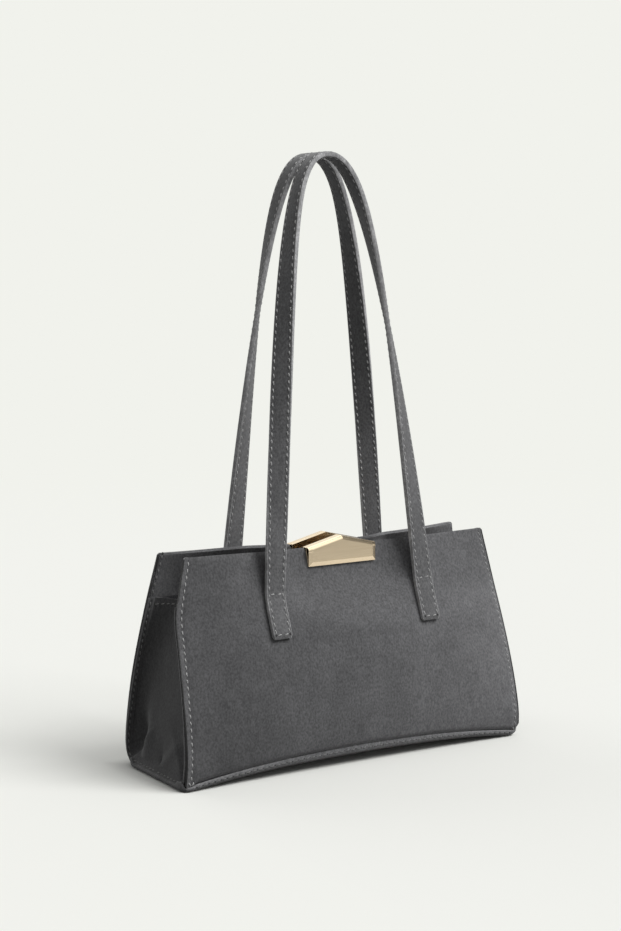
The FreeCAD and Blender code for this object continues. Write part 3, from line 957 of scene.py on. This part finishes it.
def base_tray():
    """Tray drawn in rows from its underside over the rim to its floor. A row is (inset, height, on rim)."""
    rim = tray_rim()
    spine = TRAY_HALF - BACK_CORNER
    rows = [(None, 0.0, 0)]
    for k in range(ROUND_STEPS + 1):
        turn = math.radians(90 * k / ROUND_STEPS)
        rows.append((RIM_ROUND * (1 - math.sin(turn)), RIM_ROUND * (1 - math.cos(turn)), 0))
    rows += [(inset, -drop, 1) for inset, drop in RIM_TOP]
    rows += [(RIM_THICK, RIM_THICK, 0), (None, RIM_THICK, 0)]

    def rim_at(spot, out):
        faces_end = smooth((abs(out.x) - CLOSED_TURN) / CLOSED_TURN_SOFT)
        by_corner = smooth((abs(spot.y) - RIM_OUT + CLOSED_LONG) / CLOSED_SOFT)
        return rim_high(spot.x) + CLOSED_CORNER * faces_end * by_corner

    def place(u, v):
        spot, out = rim[round(u * len(rim)) % len(rim)]
        inset, height, on_rim = rows[round(v * (len(rows) - 1))]
        if inset is None:
            flat = Vector((min(max(spot.x, -spine), spine), 0))
        else:
            flat = spot - out * inset
        rim_here = rim_at(spot, out)
        if on_rim:
            height += rim_here
        else:
            height *= min((rim_here - RIM_LAND) / RIM_ROUND, 1.0)
        return Vector((flat.x, flat.y, arch(flat.x) + height))

    bm = grid(len(rim), len(rows) - 1, place)
    join_seams(bm)
    # Painted highlight: the rim is painted paler along its top edge.
    mark_rub_and_light(bm, lambda co: smooth((co.z - arch(co.x) - rim_high(co.x) + RIM_HIGHLIGHT) / RIM_HIGHLIGHT_SOFT))
    # Painted shade: the base's ends take the darker copy of the suede.
    for face in bm.faces:
        face.material_index = int(abs(face.calc_center_median().x) > SHADED_END_X)
    obj = piece("base_suede", bm, "suede", BASE_SUEDE, SHADED_SUEDE)
    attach(obj, "base")
    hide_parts("base_panel")


def base_stitches():
    bm = bmesh.new()
    steps = 120
    for side in (-1, 1):
        path = []
        for k in range(steps + 1):
            x = mix(-BASE_ROW_HALF, BASE_ROW_HALF, k / steps)
            point = Vector((x, side * RIM_OUT, arch(x) + BASE_ROW_UP * rim_high(x)))
            path.append((point, Vector((0, side, 0))))
        sew(bm, path, STITCH_PITCH)
    obj = piece("base_stitches", bm, "suede", SHADED_THREAD, NEEDLE_HOLE_SHADE)
    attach(obj, "base")


def base_cloth():
    low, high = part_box("base_lining")
    half_wide = high.y - BASE_CLOTH_IN

    def place(u, v):
        x = mix(low.x, high.x, u)
        return Vector((x, mix(-half_wide, half_wide, v), arch(x) + low.z + BASE_CLOTH_LIFT))

    bm = grid(columns=80, rows=24, place=place)
    face_out(bm, Vector((0, 0, 1)))
    thicken(bm, BASE_CLOTH_THICK)
    obj = piece("base_cloth", bm, "lining", LINING_TWILL)
    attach(obj, "base")
    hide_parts("base_lining")


# Gussets


def gusset_edge(panel, s):
    """Sewn edge of a gusset half, as (depth, height, turn): down its panel, round, and along the base."""
    corner_z = GUSSET_LOW + GUSSET_CORNER
    inner = panel_depth(panel, half_length(corner_z) - FLANGE_WIDE, corner_z) - PANEL_THICK - FLANGE_GAP
    leg = HEM_Z - corner_z
    arc = GUSSET_CORNER * math.pi / 2
    run = inner - GUSSET_CORNER
    gone = s * (leg + arc + run)
    turn = min(max(gone - leg, 0.0) / arc, 1.0)
    swing = turn * math.pi / 2
    depth = run + GUSSET_CORNER * math.cos(swing) - max(gone - leg - arc, 0.0)
    height = max(HEM_Z - gone, corner_z) - GUSSET_CORNER * math.sin(swing)
    return depth, height, turn


def gusset_point(end, panel, a, s, inward=0.0):
    """Point of a gusset half. a runs from its sewn edge to the fold, s from the hem along that edge."""
    side = panel["side"]
    depth, height, turn = gusset_edge(panel, s)
    swing = turn * math.pi / 2
    on_base = smooth(turn)

    def beside(i):
        lies = panel_depth(panel, half_length(height) - i, height) - PANEL_THICK - FLANGE_GAP
        return mix(lies, depth, on_base)

    wide = FLANGE_TIP + mix(FLANGE_WIDE, FLANGE_LEAN, on_base)
    across = min(a / FLANGE_SHARE, 1.0)
    i = mix(FLANGE_TIP, wide, across)
    lift = across * FLANGE_WIDE * on_base
    y = beside(i) - lift * math.cos(swing)
    z = height + lift * math.sin(swing)
    if a > FLANGE_SHARE:
        t = (a - FLANGE_SHARE) / (1 - FLANGE_SHARE)
        fold_z = mix(HEM_Z, FOLD_FOOT, s)
        deep = mix(FOLD_LOW, FOLD_HIGH, max(1 - s, 0.0) ** FOLD_CURVE)
        start = mix(FOLD_START_HIGH, FOLD_START_LOW, on_base)
        i = curve(t, i, i + start, deep, deep)
        y = curve(t, y, y * FOLD_FULL, y * FOLD_HOLLOW, 0)
        z = mix(z, fold_z, smooth(t))
        i += gusset_slack(side * y, z) * smooth(t * SLACK_GROWTH) * smooth((HEM_Z - z) / SLACK_DROP)
    x = half_length(z) - i - inward
    y = max(y - inward * (1 - a), 0)
    return Vector((end * x, side * y, z + inward * on_base))


def gusset_slack(across, z):
    """Hollow near the back corner, a ridge beside it and a faint slanted ridge near the front."""
    slack = 0.0
    for dent in GUSSET_DENTS:
        above = z - dent["up"]
        beside = across - dent["across"] + dent["slant"] * above
        slack += dent["deep"] * hill(beside, dent["wide"]) * hill(above, dent["tall"])
    return slack


def gusset_bend(obj, name, side):
    """Bends a gusset half from its fold, which stays with the base, to the panel that it is sewn to."""
    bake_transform(obj, "base", name, start=(0, 0, HEM_Z), end=(0, side * GUSSET_BEND_OUT, HEM_Z + GUSSET_BEND_UP))


def gusset_half(end_name, end, name, panel):
    label = end_name + "_gusset_" + name
    bm = grid(columns=36, rows=80, place=lambda a, s: gusset_point(end, panel, a, s))
    face_out(bm, Vector((end, 0, 0)))
    thicken(bm, GUSSET_THICK)
    mark_rub_and_light(bm, lambda co: 1 - smooth((half_length(co.z) - abs(co.x) - FLANGE_TIP) / GUSSET_RUB))
    obj = piece(label, bm, "gusset_suede", SHADED_SUEDE)
    gusset_bend(obj, name, panel["side"])
    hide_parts(end_name + "_gusset")

    def cloth_place(u, v):
        s = mix(GUSSET_CLOTH_TRIM, 1 - GUSSET_CLOTH_TRIM, v)
        return gusset_point(end, panel, mix(FLANGE_SHARE, 1, u), s, GUSSET_CLOTH_IN)

    bm = grid(columns=24, rows=50, place=cloth_place)
    face_out(bm, Vector((end, 0, 0)))
    thicken(bm, LINING_THICK)
    cloth = piece(label + "_cloth", bm, "lining", LINING_TWILL)
    gusset_bend(cloth, name, panel["side"])
    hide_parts(end_name + "_gusset_lining")


def gusset_stitches(end_name, end, name, panel):
    bm = bmesh.new()

    def place(a, s):
        return gusset_point(end, panel, a, s)

    hem = HEM_ROW / (HEM_Z - FOLD_FOOT)
    steps = 30
    row = [(mix(FLANGE_SHARE, 1, k / steps), hem) for k in range(steps + 1)]
    sew(bm, row_on(place, row, Vector((end, 0, 0))), HEM_PITCH)
    steps = 90
    row = [(FLANGE_SHARE * FLANGE_ROW, mix(FLANGE_ROW_TRIM, 1 - FLANGE_ROW_TRIM, k / steps))
           for k in range(steps + 1)]
    sew(bm, row_on(place, row, Vector((end * FLANGE_FACING, -panel["side"], 0))), STITCH_PITCH)
    obj = piece(end_name + "_gusset_" + name + "_stitches", bm, "gusset_suede", SHADED_THREAD, NEEDLE_HOLE_SHADE)
    gusset_bend(obj, name, panel["side"])


# Straps


def strap_middle(panel, s):
    """Middle line of a strap. s runs from -1 at the left end over 0 at the crown to 1 at the right end."""
    side = panel["side"]
    leg = 1 - abs(s) * (1 + SEWN_LEG)
    if leg < 0:
        z = mix(SEWN_HIGH, SEWN_LOW, -leg / SEWN_LEG)
        point = panel_point(panel, STRAP_X, z, -STRAP_THICK / 2 - STRAP_GAP)
    else:
        foot = panel_point(panel, STRAP_X, SEWN_HIGH, -STRAP_THICK / 2 - STRAP_GAP)
        crown_y = CROWNS_MEET + side * (STRAP_WIDTH + CROWNS_APART) / 2
        shoulder = Vector((SHOULDER_X, mix(crown_y, foot.y, panel["lean"]), SHOULDER_Z))
        beside_crown = Vector((CROWN_X, crown_y, STRAP_TOP))
        point = curve(leg, foot, shoulder, beside_crown, Vector((0, crown_y, STRAP_TOP)))
    return Vector((math.copysign(point.x, s), point.y, point.z))


def strap_place(panel, s, a, b):
    """Point of a strap, a across its width and b outwards from its middle line."""
    point = strap_middle(panel, s)
    along = strap_middle(panel, min(s + STRAP_STEP, 1)) - strap_middle(panel, max(s - STRAP_STEP, -1))
    along.normalize()
    leg = max(0.0, 1 - abs(s) * (1 + SEWN_LEG))
    turn = math.radians(90) * (1 - (1 - min(leg / TWIST_END, 1.0)) ** TWIST_CURVE)
    across = Vector((-math.copysign(1, s) * math.cos(turn), panel["side"] * math.sin(turn), 0))
    across = (across - along * across.dot(along)).normalized()
    return point + across * a + along.cross(across) * panel["side"] * b


def strap_section():
    """Outline of a strap, round at its edges and drawn in along its stitch rows, as (across, out)."""
    half = STRAP_WIDTH / 2
    thick = STRAP_THICK / 2
    row = half - STRAP_STITCH_IN
    quarter = [(half - inset, share * thick) for inset, share in STRAP_EDGE]
    quarter += [(row, thick - STRAP_STITCH_SINK), (row - STRAP_GROOVE, thick),
                (row * STRAP_SWELL_X, thick + STRAP_SWELL)]
    top = quarter + [(-a, b) for a, b in reversed(quarter)]
    return top + [(-a, -b) for a, b in top]


def strap(name, panel):
    section = strap_section()

    def place(u, v):
        a, b = section[round(u * len(section)) % len(section)]
        s = 2 * v - 1
        near_end = max(0.0, 1 - (1 - abs(s)) / STRAP_END)
        a *= 1 - STRAP_END_NARROW * near_end ** 2
        b *= 1 - STRAP_END_THIN * near_end ** 2
        return strap_place(panel, s, a, b)

    # The strap's edges are painted much paler: their edge paint and a painted highlight where light catches them.
    def rub_and_light(u, v):
        a, _ = section[round(u * len(section)) % len(section)]
        return smooth((abs(a) - STRAP_WIDTH / 2 + STRAP_EDGE_PAINT_AND_HIGHLIGHT) / STRAP_EDGE_PAINT_AND_HIGHLIGHT_SOFT)

    bm = grid(len(section), 2 * STRAP_ROWS, place, rub_and_light)
    join_seams(bm, fill=True)
    obj = piece(name + "_strap_suede", bm, "strap_suede", STRAP_SUEDE)
    strap_bend(obj, name)
    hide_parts(name + "_strap_outer", name + "_strap_backing", name + "_strap_left_end",
                name + "_strap_right_end")


def strap_bend(obj, name):
    """Bends a strap just above its sewn ends."""
    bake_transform(obj, name, name + "_strap", start=(0, 0, STRAP_BEND_LOW), end=(0, 0, STRAP_BEND_HIGH))


def strap_stitches(name, panel):
    bm = bmesh.new()
    row = STRAP_WIDTH / 2 - STRAP_STITCH_IN
    surface = STRAP_THICK / 2 - STRAP_STITCH_SINK
    last = STRAP_ROW_END
    sewn = 1 / (1 + SEWN_LEG)

    def spot(s, a, b):
        point = strap_place(panel, s, a, b)
        return point, (point - strap_place(panel, s, a, 0)).normalized()

    steps = 240
    for face in (1, -1):
        for a in (-row, row):
            path = [spot(mix(-last, last, k / steps), a, face * surface) for k in range(steps + 1)]
            sew(bm, path, STRAP_PITCH)
    steps = 4
    for s in (-last, -sewn, sewn, last):
        path = [spot(s, mix(-row, row, k / steps), surface + CROSS_ROW_LIFT) for k in range(steps + 1)]
        sew(bm, path, STRAP_PITCH)
    obj = piece(name + "_strap_stitches", bm, "strap_suede", SEWING_THREAD, NEEDLE_HOLE_SHADE)
    strap_bend(obj, name)


# Clasp


def roof(x):
    """Height of the clasp's roof, highest in the middle."""
    return CLASP_PEAK - SHOULDER_DROP * abs(x) / CLASP_HALF


def house(inset, drop):
    """Corners of the clasp's outline in X and Z, drawn in at its sides and lowered at its roof."""
    half = CLASP_HALF - inset
    low = CLASP_LOW + inset
    eaves = roof(half) - drop
    return [(-half, low), (half, low), (half, eaves), (0, roof(0) - drop), (-half, eaves)]


def end_tab(end, inset, drop):
    """Corners in X and Z of the tab that closes an end of the clasp against the panel."""
    near = end * (CLASP_HALF - TAB_LONG)
    far = end * (CLASP_HALF - inset)
    low = CLASP_LOW + inset
    return [(near, low), (far, low), (far, roof(far) - drop), (near, roof(near) - drop)]


def push_out(bm, face, distance):
    """Extrudes a face along +Y."""
    moved = bmesh.ops.extrude_face_region(bm, geom=[face])["geom"]
    corners = [v for v in moved if isinstance(v, bmesh.types.BMVert)]
    bmesh.ops.translate(bm, verts=corners, vec=(0, distance, 0))


def turn_to_back(bm):
    bmesh.ops.rotate(bm, verts=bm.verts[:], cent=(0, 0, 0), matrix=Matrix.Rotation(math.pi, 3, "Z"))


def clasp_cap(name, panel):
    """Bent sheet of a clasp half with its bevelled face, its bend and its roof, and a tab at each end."""
    face_y = -panel["clasp_depth"] - CAP_STANDOFF
    rows = [(0.0, BEVEL_DEEP, 0.0, lambda x: CLASP_LOW),
            (BEVEL_SIDE, 0.0, BEVEL_DEEP, lambda x: CLASP_LOW + BEVEL_LOW)]
    for k in range(BEND_STEPS + 1):
        turn = math.radians(90 * k / BEND_STEPS)
        lower = BEND_LOW * (1 - math.sin(turn))
        rows.append((BEVEL_SIDE, BEND_DEEP * (1 - math.cos(turn)), BEVEL_DEEP * (1 - math.sin(turn)),
                     lambda x, lower=lower: roof(x) - lower))
    rows.append((BEVEL_SIDE, CAP_DEEP, 0.0, roof))

    def place(u, v):
        inset, deep, end_deep, height = rows[round(v * (len(rows) - 1))]
        column = round(4 * u) - 2
        at_end = abs(column) == 2
        half = CLASP_HALF - (0.0 if at_end else inset)
        x = half * ((column > 0) - (column < 0))
        return Vector((x, face_y + deep + (end_deep if at_end else 0.0), height(x)))

    bm = grid(4, len(rows) - 1, place)
    join_seams(bm)
    face_out(bm, Vector((0, -1, 0)))
    thicken(bm, CAP_SHEET)
    for end in (-1, 1):
        back = face_y + CAP_STANDOFF - LINER_THICK - TAB_GAP
        tab = bm.faces.new([bm.verts.new((x, back + CLASP_LEAN * (z - CLASP_LOW), z))
                            for x, z in end_tab(end, METAL_IN, TAB_DROP)])
        push_out(bm, tab, LINER_THICK)
    bmesh.ops.recalc_face_normals(bm, faces=bm.faces[:])
    round_edges(bm, METAL_ROUND, segments=2, least_angle=25)
    if panel["side"] > 0:
        turn_to_back(bm)
    obj = piece(name + "_clasp_shell", bm, "clasp_gold", CLASP_GOLD, sharp=5)
    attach(obj, name + "_neck")
    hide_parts(name + "_clasp_cap")


def clasp_plate(name):
    low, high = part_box(name + "_clasp_plate")
    bm = bmesh.new()
    plate = bm.faces.new([bm.verts.new((x, low.y, z)) for x, z in house(METAL_IN, METAL_IN)])
    push_out(bm, plate, high.y - low.y)
    bmesh.ops.recalc_face_normals(bm, faces=bm.faces[:])
    round_edges(bm, METAL_ROUND, segments=2, least_angle=20)
    obj = piece(name + "_clasp_inner_plate", bm, "clasp_gold", CLASP_GOLD, sharp=15)
    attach(obj, name + "_neck")
    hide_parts(name + "_clasp_plate")


# Build

for name, panel in PANELS.items():
    suede_panel(name, panel)
    edge_stitches(name, panel)
    facing_strip(name, panel)
    lining(name, panel)
    strap(name, panel)
    strap_stitches(name, panel)
    clasp_cap(name, panel)
    clasp_plate(name)
    for end_name, end in (("left", -1), ("right", 1)):
        gusset_half(end_name, end, name, panel)
        gusset_stitches(end_name, end, name, panel)
base_tray()
base_stitches()
base_cloth()
pocket()

for label, material in (("front_clasp_magnet", MAGNET_GREY), ("front_clasp_screws", CLASP_GOLD),
                        ("back_clasp_magnet", MAGNET_GREY), ("back_clasp_screws", CLASP_GOLD),
                        ("base_board", FIBRE_BOARD)):
    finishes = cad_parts[label].data.materials
    finishes.clear()
    finishes.append(material)


# Floor, light and camera

PALE = (0.88, 0.887, 0.84)
FLOOR_SHADE = (0.845, 0.85, 0.813)
FLOOR_SHADOW_GLOW = 0.26
FADE_WIDE = 14 * MM
FADE_FAR = (0.6, 1.7)
FADE_FRONT = (-0.33, -0.53)
FLOOR_BOUNCE = (0.2, 0.2, 0.195)
FLOOR_FRONT = -0.55
FLOOR_HALF = 30
AMBIENT_LEFT = 0.16
AMBIENT_RIGHT = 0.6
SUN = 2.65
SUN_ANGLE = 34
SUN_FROM = (0.42, -0.52, 0.74)
FILL = 0.5
FILL_ANGLE = 60
FILL_FROM = (-0.4, 0.9, 0.3)

# Room that the metal mirrors: where its light changes along an axis, from and to, and how bright it is there
ROOM_RIGHT = (0.5, 0.72, 1.0, 0.15)
ROOM_RIGHT_LOW = (0.1, 0.35, 1.0, 0.15)
ROOM_FRONT = (-0.8, 0.2, 0.57, 0.95)
ROOM_UP = (0.35, 0.7, 1.0, 2.2)

# Camera: its place, its angles in degrees, and its sensor and lens in millimetres
CAMERA_AT = (-692.96 * MM, -1099.86 * MM, 349.61 * MM)
CAMERA_TURN = -31.74
CAMERA_DOWN = 6.5
CAMERA_ROLL = -0.39
SENSOR = 36
LENS = 72.96


def seen_straight(tree, *others):
    """1 for rays that show the backdrop: from the camera, through glass, and any others named."""
    path = node(tree, "LightPath")
    return greatest(tree, *[path.outputs[ray] for ray in ("Is Camera Ray", "Is Transmission Ray", *others)])


def floor():
    """Pale floor that fades into the backdrop far off and in front. To the left of and behind the bag it glows
    partly with the backdrop's colour, painted light that gives a light shadow there. It ends in front of the
    bag, so that the clasp's face mirrors the darker room."""
    bm = bmesh.new()
    bmesh.ops.create_grid(bm, x_segments=1, y_segments=1, size=FLOOR_HALF)
    for vert in bm.verts:
        vert.co.y = max(vert.co.y, FLOOR_FRONT)
    mesh = to_mesh("floor", bm)
    obj = put("floor", mesh)
    material, tree, shader = finish_nodes("floor")
    seen = seen_straight(tree, "Is Glossy Ray")
    tree.links.new(blend_colors(tree, seen, FLOOR_BOUNCE, FLOOR_SHADE), shader.inputs["Base Color"])
    # Painted light: to the left of and behind the bag the floor glows partly with the backdrop's colour, which
    # lightens its shadow there.
    left = spread(tree, place_along(tree, "X"), -BASE_HALF, -BASE_HALF - FADE_WIDE, 0, FLOOR_SHADOW_GLOW)
    behind = spread(tree, place_along(tree, "Y"), RIM_OUT, RIM_OUT + FADE_WIDE, 0, FLOOR_SHADOW_GLOW)
    away = node(tree, "VectorMath", operation="LENGTH")
    tree.links.new(node(tree, "TexCoord").outputs["Object"], away.inputs[0])
    far = spread(tree, away.outputs["Value"], *FADE_FAR, 0, 1)
    front = spread(tree, place_along(tree, "Y"), *FADE_FRONT, 0, 1)
    backdrop = node(tree, "Emission", Color=(*PALE, 1), Strength=1.0)
    faded = node(tree, "MixShader")
    tree.links.new(product(tree, seen, greatest(tree, left, behind, far, front)), faded.inputs["Fac"])
    tree.links.new(shader.outputs["BSDF"], faded.inputs[1])
    tree.links.new(backdrop.outputs["Emission"], faded.inputs[2])
    tree.links.new(faded.outputs["Shader"], tree.nodes["Material Output"].inputs["Surface"])
    shader.inputs["Roughness"].default_value = 1.0
    shader.inputs["Specular IOR Level"].default_value = 0.0
    mesh.materials.append(material)


def sky():
    """Soft light, more from the right, a pale backdrop, and a room for the metal, dark front and right."""
    world = bpy.data.worlds.new("studio")
    bpy.context.scene.world = world
    world.use_nodes = True
    tree = world.node_tree
    ambient = tree.nodes["Background"]
    ambient.inputs["Color"].default_value = (1, 1, 1, 1)
    backdrop = node(tree, "Background", Color=(*PALE, 1), Strength=1.0)
    towards = node(tree, "SeparateXYZ")
    tree.links.new(node(tree, "TexCoord").outputs["Generated"], towards.inputs["Vector"])
    tree.links.new(spread(tree, towards.outputs["X"], -1, 1, AMBIENT_LEFT, AMBIENT_RIGHT),
                   ambient.inputs["Strength"])
    right = greatest(tree, spread(tree, towards.outputs["X"], *ROOM_RIGHT),
                     spread(tree, towards.outputs["Z"], *ROOM_RIGHT_LOW))
    room = product(tree, spread(tree, towards.outputs["Y"], *ROOM_FRONT), right)
    room = product(tree, room, spread(tree, towards.outputs["Z"], *ROOM_UP))
    mirrored = node(tree, "Background", Color=(*PALE, 1))
    tree.links.new(room, mirrored.inputs["Strength"])
    glossy = node(tree, "LightPath").outputs["Is Glossy Ray"]
    light = ambient.outputs["Background"]
    for share, other in ((glossy, mirrored), (seen_straight(tree), backdrop)):
        choice = node(tree, "MixShader")
        tree.links.new(share, choice.inputs["Fac"])
        tree.links.new(light, choice.inputs[1])
        tree.links.new(other.outputs["Background"], choice.inputs[2])
        light = choice.outputs["Shader"]
    tree.links.new(light, tree.nodes["World Output"].inputs["Surface"])


def lamp(name, energy, angle, source):
    """Wide soft light from a direction. Metal shows the room instead of it."""
    data = bpy.data.lights.new(name, "SUN")
    data.energy = energy
    data.angle = math.radians(angle)
    obj = put(name, data)
    obj.visible_glossy = False
    obj.rotation_mode = "QUATERNION"
    obj.rotation_quaternion = Vector(source).to_track_quat("Z", "Y")


def camera():
    data = bpy.data.cameras.new("camera")
    data.sensor_width = SENSOR
    data.lens = LENS
    obj = put("camera", data)
    obj.location = CAMERA_AT
    turn = Matrix.Identity(4)
    for angle, axis in ((CAMERA_TURN, "Z"), (90 - CAMERA_DOWN, "X"), (CAMERA_ROLL, "Z")):
        turn = turn @ Matrix.Rotation(math.radians(angle), 4, axis)
    obj.rotation_euler = turn.to_euler()
    bpy.context.scene.camera = obj


floor()
sky()
lamp("softbox", SUN, SUN_ANGLE, SUN_FROM)
lamp("fill", FILL, FILL_ANGLE, FILL_FROM)
camera()
bpy.context.scene.view_settings.view_transform = "Standard"
